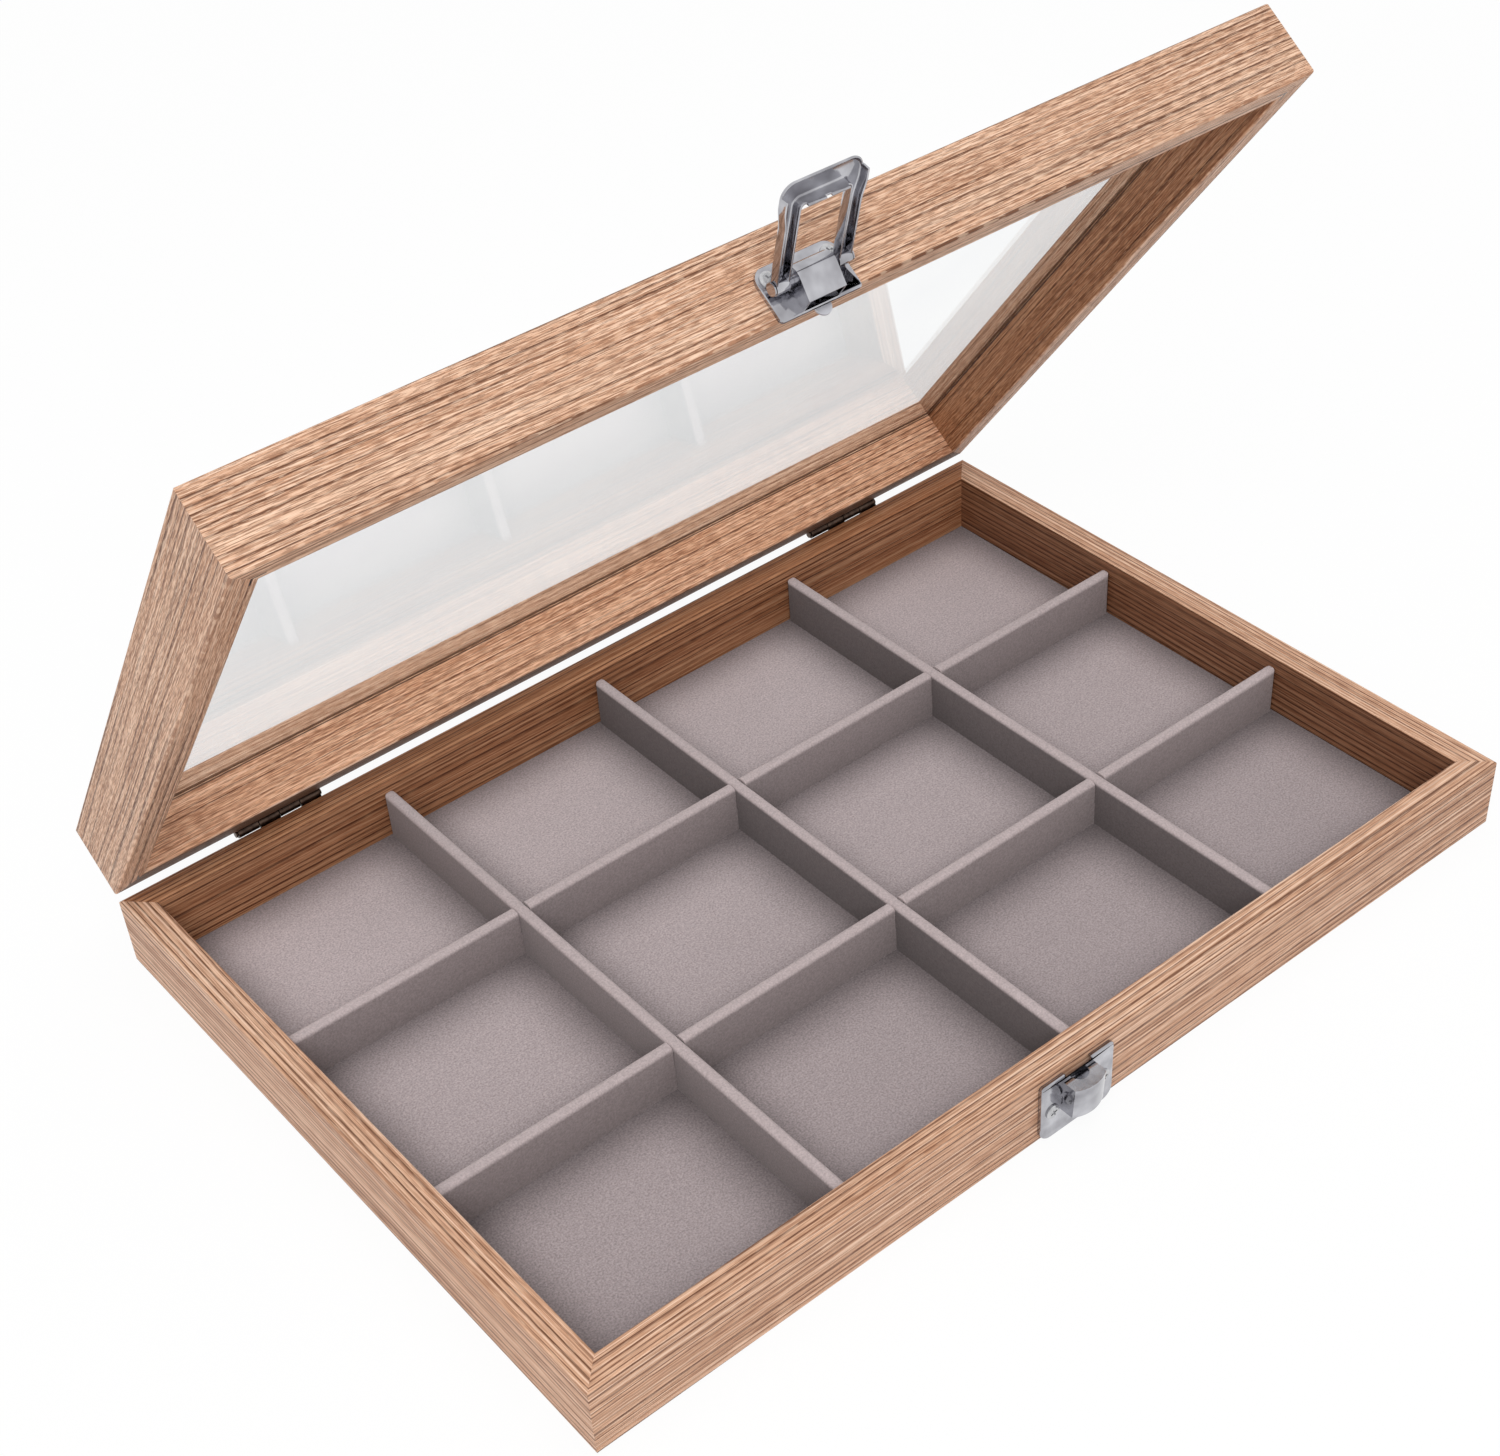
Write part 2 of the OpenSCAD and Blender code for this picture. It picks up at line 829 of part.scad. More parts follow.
module latch_spring() {
    bow = pivot_out - bail_pin_r - pin_gap;
    foot = plate_face();
    color(steel)
        lid_pose()
            on_front(lid_z)
                across(spring_w)
                    polygon([
                        [foot, spring_high],
                        [foot + spring_t, spring_high],
                        [bow, pivot_z + spring_flat],
                        [bow, pivot_z - spring_flat],
                        [foot + spring_t, spring_low],
                        [foot, spring_low],
                        [bow - spring_t, pivot_z - spring_flat + spring_t / 2],
                        [bow - spring_t, pivot_z + spring_flat - spring_t / 2]
                    ]);
}

module latch_nose() {
    color(chrome)
        lid_pose()
            on_front(lid_z)
                translate([0, 0, plate_face() - 2 * sheet_t])
                    linear_extrude(sheet_t) {
                        translate([0, nose_r - nose_drop]) circle(nose_r);
                        translate([-nose_r, nose_r - nose_drop])
                            square([
                                2 * nose_r, nose_top + nose_drop - nose_r
                            ]);
                    }
}

module latch_screws() {
    color(steel)
        lid_pose()
            on_front(lid_z)
                latch_screw_places(lid_screw_z)
                    translate([0, 0, plate_face()])
                        screw(screw_head_r, screw_l);
}

// The bail, hanging shut from its pin at the origin

// How far the sides have flared out at a distance from the pin
function flared(d) =
    let (u = min(1, max(0, (d - flare_start) / (flare_end - flare_start))))
    flare * u * u * (3 - 2 * u);

// Outline of the bail, drawn in by an inset
module bail_outline(inset = 0) {
    r = bail_corner_r;
    x = bail_w / 2 - inset;
    end = bail_w / 2 + flare - r;
    side = [
        for (u = [0 : 1 / 12 : 1.01])
            let (d = flare_start + u * (flare_end - flare_start))
                [x + flared(d), -d]
    ];
    polygon(concat(
        [[-x, 0], [x, 0]],
        side,
        [[end + r - inset, r - bail_l], [-end - r + inset, r - bail_l]],
        [for (i = [12 : -1 : 0]) [-side[i][0], side[i][1]]]
    ));
    translate([-end, inset - bail_l]) square([2 * end, r]);
    for (s = [-1, 1])
        translate([s * end, r - bail_l]) circle(r - inset);
}

// Window between the arms, let out by a growth
module bail_window(grow = 0) {
    r = window_r + grow;
    x = arm_x + grow;
    y = -bail_in - grow;
    translate([-x, y + r]) square([2 * x, bail_l]);
    translate([r - x, y]) square([2 * (x - r), bail_l]);
    for (s = [-1, 1])
        translate([s * (x - r), y + r]) circle(r);
}

// Part of the bail's depth, from its outer face inwards
module bail_layer(depth) {
    translate([0, 0, bail_face - depth]) linear_extrude(depth) children();
}

module bail_shell() {
    bail_layer(sheet_t)
        difference() {
            bail_outline();
            bail_window();
            translate([-bail_w, 0]) square([2 * bail_w, bail_l]);
        }
    intersection() {
        bail_layer(arm_flange)
            difference() {
                bail_outline();
                bail_outline(sheet_t);
            }
        across(2 * bail_w)
            polygon([
                [bail_face, 0],
                [bail_face, bail_corner_r / 2 - bail_l],
                [bail_face - sheet_t, bail_corner_r / 2 - bail_l],
                [bail_face - arm_flange, bail_corner_r / 2 + flange_fade - bail_l],
                [bail_face - arm_flange, 0]
            ]);
    }
    bail_layer(arm_flange)
        intersection() {
            difference() {
                bail_window(sheet_t);
                bail_window();
            }
            translate([-bail_w, -bail_in]) square([2 * bail_w, bail_in]);
        }
    bail_layer(lip_depth)
        translate([-arm_x, -bail_in - sheet_t])
            square([2 * arm_x, sheet_t]);
    for (s = [-1, 1])
        translate([s * (arm_x + arm_w / 2), 0, 0])
            rotate([0, 90, 0]) cylinder(h = arm_w, r = eye_r, center = true);
}

module latch_bail() {
    color(chrome)
        lid_pose()
            on_front(lid_z)
                translate([0, pivot_z, pivot_out])
                    rotate([-bail_open, 0, 0])
                        difference() {
                            bail_shell();
                            rotate([0, 90, 0])
                                cylinder(
                                    h = 2 * bail_w,
                                    r = bail_pin_r + pin_gap,
                                    center = true
                                );
                            translate([
                                -lip_notch_w / 2,
                                -bail_in - 2 * sheet_t,
                                bail_face - lip_depth - eps
                            ])
                                cube([
                                    lip_notch_w, 4 * sheet_t, lip_notch_d
                                ]);
                        }
}

// The keeper on the tray

// Upright box of the hook's plan, its front round and leaning in
module hook_block(inset, low, high) {
    w = hook_w - 2 * inset;
    back = plate_face() - (inset > 0 ? eps : 0);
    intersection() {
        translate([-w / 2, low, back])
            cube([w, high - low, hook_out]);
        translate([0, hook_top, hook_out - hook_r])
            rotate([90 + hook_tilt, 0, 0])
                cylinder(h = 4 * hook_top, r = hook_r - inset, center = true);
    }
}

module keeper_plate() {
    color(chrome)
        on_front(0)
            difference() {
                translate([0, keeper_z, 0])
                    pressed_plate(keeper_w, keeper_h, plate_r, keeper_low_r);
                translate([
                    -keeper_notch_w / 2,
                    keeper_z + keeper_h - keeper_notch_d,
                    -eps
                ])
                    cube([
                        keeper_notch_w, 2 * keeper_notch_d, plate_rim + 2 * eps
                    ]);
                latch_screw_places(keeper_screw_z)
                    translate([0, 0, plate_face()]) pilot();
                tabs(hook_w, hook_tab_z, nail_gap);
            }
}

module keeper_hook() {
    color(chrome)
        on_front(0) {
            difference() {
                hook_block(0, hook_bottom, hook_top);
                hook_block(sheet_t, hook_bottom - 1, hook_top - sheet_t);
                translate([0, hook_top, plate_face()])
                    rotate([90, 0, 0])
                        cylinder(h = 4 * sheet_t, r = hook_hole_r, center = true);
                translate([0, keeper_pin_z, keeper_pin_out])
                    rotate([0, 90, 0])
                        cylinder(
                            h = 2 * hook_w,
                            r = keeper_pin_r + pin_gap,
                            center = true
                        );
            }
            tabs(hook_w, hook_tab_z);
        }
}

module keeper_pin() {
    color(chrome)
        on_front(0)
            translate([0, keeper_pin_z, keeper_pin_out])
                headed_pin(hook_w, keeper_pin_r, 0, rivet_r, rivet_t);
}

module keeper_screws() {
    color(steel)
        on_front(0)
            latch_screw_places(keeper_screw_z)
                translate([0, 0, plate_face()]) screw(screw_head_r, screw_l);
}

tray_front_rail();
tray_back_rail();
tray_left_rail();
tray_right_rail();
bottom_panel();
floor_pad();
divider_long_front();
divider_long_back();
divider_short_left();
divider_short_middle();
divider_short_right();
tray_corner_nails();
keeper_plate();
keeper_hook();
keeper_pin();
keeper_screws();
hinge_left_tray_leaf();
hinge_right_tray_leaf();
hinge_left_pin();
hinge_right_pin();
hinge_tray_screws();
lid_front_rail();
lid_back_rail();
lid_left_rail();
lid_right_rail();
glass_pane();
lid_corner_nails();
hinge_left_lid_leaf();
hinge_right_lid_leaf();
hinge_lid_screws();
latch_plate();
latch_housing();
latch_pin();
latch_spring();
latch_nose();
latch_screws();
latch_bail();
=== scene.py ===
"""Shallow wood-finish case with a glass lid, a draw latch and a tray lined with velvet."""

import json
import math

import bpy
from mathutils import Matrix, Vector

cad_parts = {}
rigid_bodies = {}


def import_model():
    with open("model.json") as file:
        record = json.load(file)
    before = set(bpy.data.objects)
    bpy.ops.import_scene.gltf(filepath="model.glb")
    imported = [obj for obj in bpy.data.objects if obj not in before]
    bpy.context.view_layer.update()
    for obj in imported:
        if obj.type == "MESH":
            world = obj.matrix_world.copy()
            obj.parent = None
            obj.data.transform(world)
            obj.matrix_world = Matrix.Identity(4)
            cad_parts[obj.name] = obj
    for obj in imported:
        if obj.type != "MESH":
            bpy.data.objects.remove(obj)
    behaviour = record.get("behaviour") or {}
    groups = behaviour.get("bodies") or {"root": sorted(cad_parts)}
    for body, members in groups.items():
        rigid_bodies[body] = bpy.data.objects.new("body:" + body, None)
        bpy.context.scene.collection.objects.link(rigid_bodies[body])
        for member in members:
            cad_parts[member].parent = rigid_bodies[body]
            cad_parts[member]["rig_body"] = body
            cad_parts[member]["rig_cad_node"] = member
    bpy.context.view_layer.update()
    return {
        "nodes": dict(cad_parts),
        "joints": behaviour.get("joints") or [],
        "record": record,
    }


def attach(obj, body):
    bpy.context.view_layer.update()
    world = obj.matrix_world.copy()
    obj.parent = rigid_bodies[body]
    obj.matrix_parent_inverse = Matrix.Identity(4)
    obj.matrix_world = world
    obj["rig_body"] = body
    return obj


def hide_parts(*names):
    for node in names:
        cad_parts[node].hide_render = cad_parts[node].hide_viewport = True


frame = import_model()
nodes = frame["nodes"]
joints = {joint["name"]: joint for joint in frame["joints"]}
slots = {part["node"]: part["material_slot"] for part in frame["record"]["subparts"]}
bodies = frame["record"]["behaviour"]["bodies"]

MM = 0.001

# The lid's place: the frame shows it open, and its grain and latch are laid out shut
hinge = Vector(joints["lid_hinge"]["pos_m"])
lid_open = math.radians(-joints["lid_hinge"]["range_deg"][0])
lid_pose = (
    Matrix.Translation(hinge)
    @ Matrix.Rotation(-lid_open, 4, "X")
    @ Matrix.Translation(-hinge)
)

# The rails' inner faces and the box's sides lie this far from the middle
inner_x = 166 * MM
inner_y = 111 * MM
side_x = 175 * MM
side_y = 120 * MM

# Heights of the shut lid's rim and of the painted shadow line along its glass
lid_rim = 25.3 * MM
glass_line = 41.6 * MM

# The dividers, and from one compartment to the next in both directions
divider = 4 * MM
divider_top = 20.2 * MM
pitch_x = (2 * inner_x + divider) / 4
pitch_y = (2 * inner_y + divider) / 3


# Helpers for materials


def colour(red, green, blue):
    """Colour as seen on a screen, 0 to 255, as the linear colour of a socket."""
    shown = [c / 255 for c in (red, green, blue)]
    linear = [c / 12.92 if c < 0.04 else ((c + 0.055) / 1.055) ** 2.4 for c in shown]
    return (*linear, 1)


def add(tree, kind, inputs=None, **settings):
    """New node with its settings, and its inputs set or linked."""
    node = tree.nodes.new(kind)
    for key, value in settings.items():
        setattr(node, key, value)
    for key, value in (inputs or {}).items():
        if isinstance(value, bpy.types.NodeSocket):
            tree.links.new(value, node.inputs[key])
        else:
            node.inputs[key].default_value = value
    return node


def finish_of(name):
    """New material with its node tree and its surface shader."""
    material = bpy.data.materials.new(name)
    material.use_nodes = True
    tree = material.node_tree
    return material, tree, tree.nodes["Principled BSDF"]


def own_place(tree, turn=None):
    """Place on the object, turned and moved if a matrix is given."""
    place = add(tree, "ShaderNodeTexCoord").outputs["Object"]
    if turn is None:
        return place
    return add(
        tree,
        "ShaderNodeMapping",
        {
            "Vector": place,
            "Location": turn.to_translation(),
            "Rotation": turn.to_euler("XYZ"),
        },
        vector_type="POINT",
    ).outputs["Vector"]


def parted(tree, place):
    """X, y and z of a place."""
    return add(tree, "ShaderNodeSeparateXYZ", {0: place}).outputs


def noise(tree, place, scale, detail, roughness=0.5):
    """Noise value on a place, with its scale per metre."""
    return add(
        tree,
        "ShaderNodeTexNoise",
        {"Vector": place, "Scale": scale, "Detail": detail, "Roughness": roughness},
    ).outputs["Fac"]


def streaks(tree, place, along, across, detail=1, roughness=0.5):
    """Noise drawn out in x, with its scales per metre along and across."""
    drawn = add(
        tree,
        "ShaderNodeVectorMath",
        {0: place, 1: (along, across, across)},
        operation="MULTIPLY",
    ).outputs[0]
    return noise(tree, drawn, 1, detail, roughness)


def maths(tree, operation, first, second=0.0):
    """Sum of the named kind on one or two values."""
    return add(
        tree, "ShaderNodeMath", {0: first, 1: second}, operation=operation
    ).outputs[0]


def product(tree, first, second):
    """Two values multiplied."""
    return maths(tree, "MULTIPLY", first, second)


def ramp(tree, value, stops):
    """Colours along a value, as pairs of a position and a colour."""
    node = add(tree, "ShaderNodeValToRGB", {"Fac": value})
    points = node.color_ramp.elements
    while len(points) < len(stops):
        points.new(0.5)
    for point, (position, shade) in zip(points, stops):
        point.position = position
        point.color = shade
    return node.outputs["Color"]


def between(tree, value, low, high):
    """Value that goes softly from 0 to 1 as another goes from low to high."""
    return add(
        tree,
        "ShaderNodeMapRange",
        {"Value": value, "From Min": low, "From Max": high},
        interpolation_type="SMOOTHSTEP",
    ).outputs["Result"]


def scaled(tree, value, low, high, start=0.0, end=1.0):
    """Value that goes evenly from low to high as another goes from start to end."""
    return add(
        tree,
        "ShaderNodeMapRange",
        {"Value": value, "From Min": start, "From Max": end, "To Min": low, "To Max": high},
    ).outputs["Result"]


def up_to(tree, value, limit):
    """One where a value is within a limit, with a narrow edge just past it."""
    return between(tree, value, limit + 0.15 * MM, limit + 0.05 * MM)


def near(tree, value, middle, inner, outer):
    """One where a value is next to a middle value, fading to nought further off."""
    off = maths(tree, "ABSOLUTE", maths(tree, "SUBTRACT", value, middle))
    return between(tree, off, outer, inner)


def blend(tree, mask, most, under, over, **settings):
    """Colour under, covered by another as far as a mask reaches its most."""
    return add(
        tree,
        "ShaderNodeMix",
        {"Factor": product(tree, mask, most), 6: under, 7: over},
        data_type="RGBA",
        **settings,
    ).outputs[2]


def bump(tree, shader, height, distance, strength=1.0):
    """Fine relief of a surface."""
    node = add(
        tree,
        "ShaderNodeBump",
        {"Height": height, "Distance": distance, "Strength": strength},
    )
    tree.links.new(node.outputs["Normal"], shader.inputs["Normal"])


def background_rays(tree):
    """One for rays from the camera, off metal and through glass."""
    path = add(tree, "ShaderNodeLightPath")
    seen = maths(tree, "MAXIMUM", path.outputs["Is Camera Ray"], path.outputs["Is Glossy Ray"])
    return maths(tree, "MAXIMUM", seen, path.outputs["Is Transmission Ray"])


# Wood foil

# Growth rings to a metre across the foil, how many they wander by, and how far all lines sway
rings_per_metre = 470.0
ring_wander = 2.6
grain_sway = 4 * MM

foil_tones = [
    (0.30, colour(196, 148, 117)),
    (0.50, colour(208, 162, 132)),
    (0.70, colour(220, 178, 149)),
]
light_thread = colour(244, 212, 188)
dark_thread = colour(140, 93, 66)
dark_ring = colour(98, 60, 40)
glint_tone = colour(250, 220, 192)
pore_tone = colour(104, 66, 44)
glass_shadow_tone = colour(62, 40, 28)
black = (0, 0, 0, 1)


def wood_foil(name, turn, home, dashed, painted_shade, shade_x=inner_x, shade_y=inner_y, rim=1.0):
    """Printed light oak foil wrapped round a rail, its grain along x once turned.

    Its dashes are as strong as told, and the rim of the lid's back rail is darkened with
    painted shade as far as told. By its place in the shut box, its inner faces get painted
    shade as a colour, as far from the middle as told, and a painted shadow line along the
    glass.
    """
    material, tree, shader = finish_of(name)
    spot = parted(tree, own_place(tree, turn))
    along = spot["X"]
    around = maths(tree, "ADD", spot["Y"], spot["Z"])
    place = add(tree, "ShaderNodeCombineXYZ", {"X": along, "Y": around}).outputs[0]
    sway = maths(tree, "SUBTRACT", streaks(tree, place, 5, 12), 0.5)
    around = maths(tree, "ADD", around, product(tree, sway, grain_sway))
    place = add(tree, "ShaderNodeCombineXYZ", {"X": along, "Y": around}).outputs[0]

    # The print's patterns, from wide bands to fine pores
    bands = streaks(tree, place, 3, 110, 2)
    spread = streaks(tree, place, 1.5, 130)
    depth = streaks(tree, place, 3 + 4 * dashed, 300)
    threads = streaks(tree, place, 8 + 12 * dashed, 1350 + 400 * dashed, 2, 0.65)
    pores = streaks(tree, place, 130 + 90 * dashed, 2600 + 900 * dashed)
    rings = maths(
        tree,
        "ADD",
        product(tree, around, rings_per_metre),
        product(tree, spread, ring_wander),
    )
    rings = maths(tree, "FRACT", rings)
    ring_lines = product(
        tree, between(tree, rings, 0.58, 0.90), between(tree, rings, 1.0, 0.96)
    )
    shown_rings = between(tree, depth, 0.30 + 0.10 * dashed, 0.50 + 0.06 * dashed)
    ring_lines = product(tree, ring_lines, shown_rings)
    thread_lines = between(tree, threads, 0.51, 0.58)
    light_lines = between(tree, threads, 0.47, 0.38)
    pore_lines = between(tree, pores, 0.54, 0.60)
    glints = between(tree, pores, 0.46, 0.40)

    tone = ramp(tree, bands, foil_tones)
    tone = blend(tree, light_lines, 0.60, tone, light_thread)
    tone = blend(tree, thread_lines, 0.55, tone, dark_thread)
    tone = blend(tree, ring_lines, 0.90, tone, dark_ring)
    tone = blend(tree, glints, 0.20 + 0.12 * dashed, tone, glint_tone)
    tone = blend(tree, pore_lines, 0.22 + 0.12 * dashed, tone, pore_tone)

    # Painted shade as a colour on the inner faces below the glass, and a painted shadow line
    # along the glass
    spot = parted(tree, own_place(tree, home))
    height = spot["Z"]
    inside = product(
        tree,
        up_to(tree, maths(tree, "ABSOLUTE", spot["X"]), shade_x),
        up_to(tree, maths(tree, "ABSOLUTE", spot["Y"]), shade_y),
    )
    before_glass = between(tree, height, glass_line + 0.5 * MM, glass_line + 0.2 * MM)
    painted_inside = product(tree, inside, before_glass)
    tone = blend(tree, painted_inside, 1.0, tone, (*painted_shade, 1), blend_type="MULTIPLY")
    # Painted shadow line along the glass on the inner faces
    shadow = product(tree, inside, near(tree, height, glass_line, 0.15 * MM, 0.3 * MM))
    tone = blend(tree, shadow, 0.9, tone, glass_shadow_tone)
    # Painted shade on the rim face of the lid's back rail, darkened towards black
    if rim < 1.0:
        tone = blend(tree, up_to(tree, height, lid_rim), 1.0 - rim, tone, black)

    tree.links.new(tone, shader.inputs["Base Color"])
    shader.inputs["Roughness"].default_value = 0.5
    shader.inputs["Specular IOR Level"].default_value = 0.25
    relief = maths(tree, "ADD", ring_lines, product(tree, pore_lines, 0.5 + dashed))
    bump(tree, shader, product(tree, relief, -1.0), 0.06 * MM)
    return material


def grain_turn(side, on_lid, shift):
    """Turn from an object's place to a rail's own grain, each rail with its own print."""
    turn = Matrix.Rotation(math.radians(90), 4, "Z") if side in ("left", "right") else Matrix()
    if on_lid:
        turn = turn @ lid_pose.inverted()
    return Matrix.Translation((shift, shift * 0.37, shift * 0.61)) @ turn


# Velvet


def floor_painted_shade(tree, spot):
    """Painted shade and light on the floor: darker along the walls, lighter towards the back.
    """
    foot_start = -8 * MM
    foot_end = 22 * MM
    from_x = maths(tree, "PINGPONG", spot["X"], pitch_x / 2)
    shifted = maths(tree, "ADD", spot["Y"], pitch_y / 2)
    from_y = maths(tree, "PINGPONG", shifted, pitch_y / 2)
    # Painted shade along the walls, fading out away from them
    upright = product(
        tree,
        between(tree, from_x, foot_start, foot_end),
        between(tree, from_y, foot_start, foot_end),
    )
    # Painted light, lighter towards the back
    lighter_to_back = scaled(tree, spot["Y"], 0.77, 1.12, -inner_y, inner_y)
    return product(tree, scaled(tree, upright, 0.32, 1.0), lighter_to_back)


def divider_painted_shade(tree, spot, side):
    """Painted shade and light on a divider: its sides as light as told, darker towards its
    foot, and a painted highlight on top.
    """
    # Painted shade on the sides, darker towards the foot
    sides = scaled(tree, between(tree, spot["Z"], 3 * MM, 25 * MM), 0.78 * side, side)
    # Painted highlight on the top
    lit_top = between(tree, spot["Z"], divider_top - 0.5 * MM, divider_top + 0.5 * MM)
    return add(
        tree, "ShaderNodeMix", {0: lit_top, 2: sides, 3: 1.18}, data_type="FLOAT"
    ).outputs[0]


def velvet(name, base, side=None):
    """Warm grey flocked velvet with painted shade and light, of a divider if the painted
    lightness of its sides is told.
    """
    material, tree, shader = finish_of(name)
    place = own_place(tree)
    spot = parted(tree, place)
    pile = noise(tree, place, 1700, 2, 0.6)
    if side is None:
        grain = scaled(tree, pile, 0.74, 1.26, 0.3, 0.7)
        painted_shading = floor_painted_shade(tree, spot)
    else:
        grain = scaled(tree, pile, 0.84, 1.16, 0.3, 0.7)
        painted_shading = divider_painted_shade(tree, spot, side)
    brushed = scaled(tree, streaks(tree, place, 22, 34, 2), 0.95, 1.05)
    tone = add(
        tree,
        "ShaderNodeVectorMath",
        {0: colour(*base)[:3], "Scale": product(tree, product(tree, grain, brushed), painted_shading)},
        operation="SCALE",
    ).outputs[0]
    tree.links.new(tone, shader.inputs["Base Color"])
    shader.inputs["Roughness"].default_value = 1.0
    shader.inputs["Specular IOR Level"].default_value = 0.05
    shader.inputs["Sheen Weight"].default_value = 0.15
    shader.inputs["Sheen Roughness"].default_value = 0.5
    bump(tree, shader, pile, 0.3 * MM, 0.5)
    return material


# Board, metal and glass


def bare_board():
    """Brown hardboard of the bottom panel."""
    material, tree, shader = finish_of("board_finish")
    fibres = noise(tree, own_place(tree), 700, 4, 0.7)
    tone = ramp(tree, fibres, [(0.35, colour(104, 74, 50)), (0.65, colour(146, 110, 80))])
    tree.links.new(tone, shader.inputs["Base Color"])
    shader.inputs["Roughness"].default_value = 0.8
    bump(tree, shader, fibres, 0.1 * MM, 0.5)
    return material


def metal(name, dark, light, rough, waves, depth):
    """Metal with a slightly uneven surface, its waves to a metre and their depth in mm."""
    material, tree, shader = finish_of(name)
    uneven = noise(tree, own_place(tree), waves, 2)
    tone = ramp(tree, uneven, [(0.3, colour(*dark)), (0.7, colour(*light))])
    tree.links.new(tone, shader.inputs["Base Color"])
    worn = scaled(tree, uneven, rough * 0.7, rough * 1.3)
    tree.links.new(worn, shader.inputs["Roughness"])
    shader.inputs["Metallic"].default_value = 1.0
    bump(tree, shader, uneven, depth * MM, 0.5)
    return material


def clear_glass():
    """Clear float glass with the faintest smears, which lets light through."""
    material, tree, shader = finish_of("glass_finish")
    smears = noise(tree, own_place(tree), 18, 3, 0.6)
    tone = ramp(tree, smears, [(0.3, colour(246, 247, 248)), (0.7, colour(250, 251, 251))])
    tree.links.new(tone, shader.inputs["Base Color"])
    tree.links.new(scaled(tree, smears, 0.0, 0.03), shader.inputs["Roughness"])
    shader.inputs["Transmission Weight"].default_value = 1.0
    shader.inputs["IOR"].default_value = 1.15

    # Light that falls on what lies behind the glass goes straight through it
    path = add(tree, "ShaderNodeLightPath").outputs
    soft = maths(tree, "MAXIMUM", path["Is Shadow Ray"], path["Is Diffuse Ray"])
    through = add(tree, "ShaderNodeBsdfTransparent", {"Color": colour(250, 251, 251)})
    mixed = add(
        tree,
        "ShaderNodeMixShader",
        {0: soft, 1: shader.outputs[0], 2: through.outputs[0]},
    ).outputs[0]
    tree.links.new(mixed, tree.nodes["Material Output"].inputs["Surface"])
    return material


# Which piece has which finish

finishes = {
    "panel_board": bare_board(),
    "glass": clear_glass(),
    "latch_chrome": metal("chrome_finish", (152, 151, 156), (198, 198, 203), 0.12, 150, 0.04),
    "screw_steel": metal("screw_finish", (176, 176, 178), (208, 208, 210), 0.25, 600, 0.05),
    "nail_steel": metal("nail_finish", (72, 68, 66), (104, 100, 98), 0.35, 600, 0.05),
    "hinge_bronze": metal("hinge_finish", (60, 48, 42), (92, 76, 66), 0.35, 500, 0.08),
}

# Painted shade as a colour on the rails' inner faces: darker on most, on the tray's back rail
# over its rim too, and warmer on the lid's front and back rails; and how light the painted
# shade leaves the rim of the lid's back rail
plain_painted_shade = ((0.38, 0.275, 0.21),)
painted_shades = {
    "tray_back_rail": ((0.63, 0.475, 0.355), side_x + 5 * MM, side_y - 0.2 * MM),
    "lid_front_rail": ((1.0, 1.0, 0.95),),
    "lid_back_rail": ((1.10, 0.98, 0.90), inner_x, inner_y, 0.35),
    "lid_left_rail": ((0.63, 0.48, 0.36),),
    "lid_right_rail": ((0.63, 0.48, 0.36),),
}

# Painted shade: how light each divider's sides are painted, by how much light falls on them
painted_side_light = {
    "divider_long_front": 0.87,
    "divider_long_back": 0.85,
    "divider_short_left": 0.74,
    "divider_short_middle": 0.42,
    "divider_short_right": 0.42,
}

# From one rail's print to the next
print_step = 0.613

print_shift = 0.0
for name, node in nodes.items():
    slot = slots[name]
    if slot == "wood_foil":
        part, side = name.split("_")[:2]
        on_lid = part == "lid"
        print_shift += print_step
        finish = wood_foil(
            name + "_foil",
            grain_turn(side, on_lid, print_shift),
            lid_pose.inverted() if on_lid else Matrix(),
            1.0 if on_lid else 0.0,
            *painted_shades.get(name, plain_painted_shade),
        )
    elif name == "latch_nose":
        finish = metal("nose_finish", (206, 206, 214), (222, 222, 228), 0.45, 300, 0.02)
    elif name == "floor_pad":
        finish = velvet("floor_velvet", (177, 164, 165))
    elif slot == "velvet":
        # Velvet with the painted shade and light of this divider's sides
        finish = velvet(name + "_velvet", (168, 155, 155), painted_side_light[name])
    else:
        finish = finishes[slot]
    node.data.materials.clear()
    node.data.materials.append(finish)


# Helpers for pieces

# Points of a node's mesh closer than this are one point
seam = 0.002 * MM


def only(piece):
    """Makes a piece the only one that is selected."""
    bpy.ops.object.select_all(action="DESELECT")
    piece.select_set(True)
    bpy.context.view_layer.objects.active = piece


def done():
    """Ends the work on a piece's faces and edges."""
    bpy.ops.object.mode_set(mode="OBJECT")


def merged_copy(name, new_name):
    """Piece with a node's mesh, its seams closed and its flat faces whole."""
    source = nodes[name]
    piece = source.copy()
    piece.data = source.data.copy()
    piece.name = new_name
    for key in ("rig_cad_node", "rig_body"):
        if key in piece:
            del piece[key]
    piece.parent = None
    bpy.context.scene.collection.objects.link(piece)
    only(piece)
    bpy.ops.object.mode_set(mode="EDIT")
    bpy.ops.mesh.select_all(action="SELECT")
    bpy.ops.mesh.remove_doubles(threshold=seam)
    bpy.ops.mesh.dissolve_limited(angle_limit=math.radians(1))
    done()
    return piece


def ease_edges(piece, width, segments, sharp, clamped=True):
    """Rounds the edges that turn by more than an angle in degrees."""
    bevel = piece.modifiers.new("eased edges", "BEVEL")
    bevel.width = width
    bevel.segments = segments
    bevel.limit_method = "ANGLE"
    bevel.angle_limit = math.radians(sharp)
    bevel.use_clamp_overlap = clamped


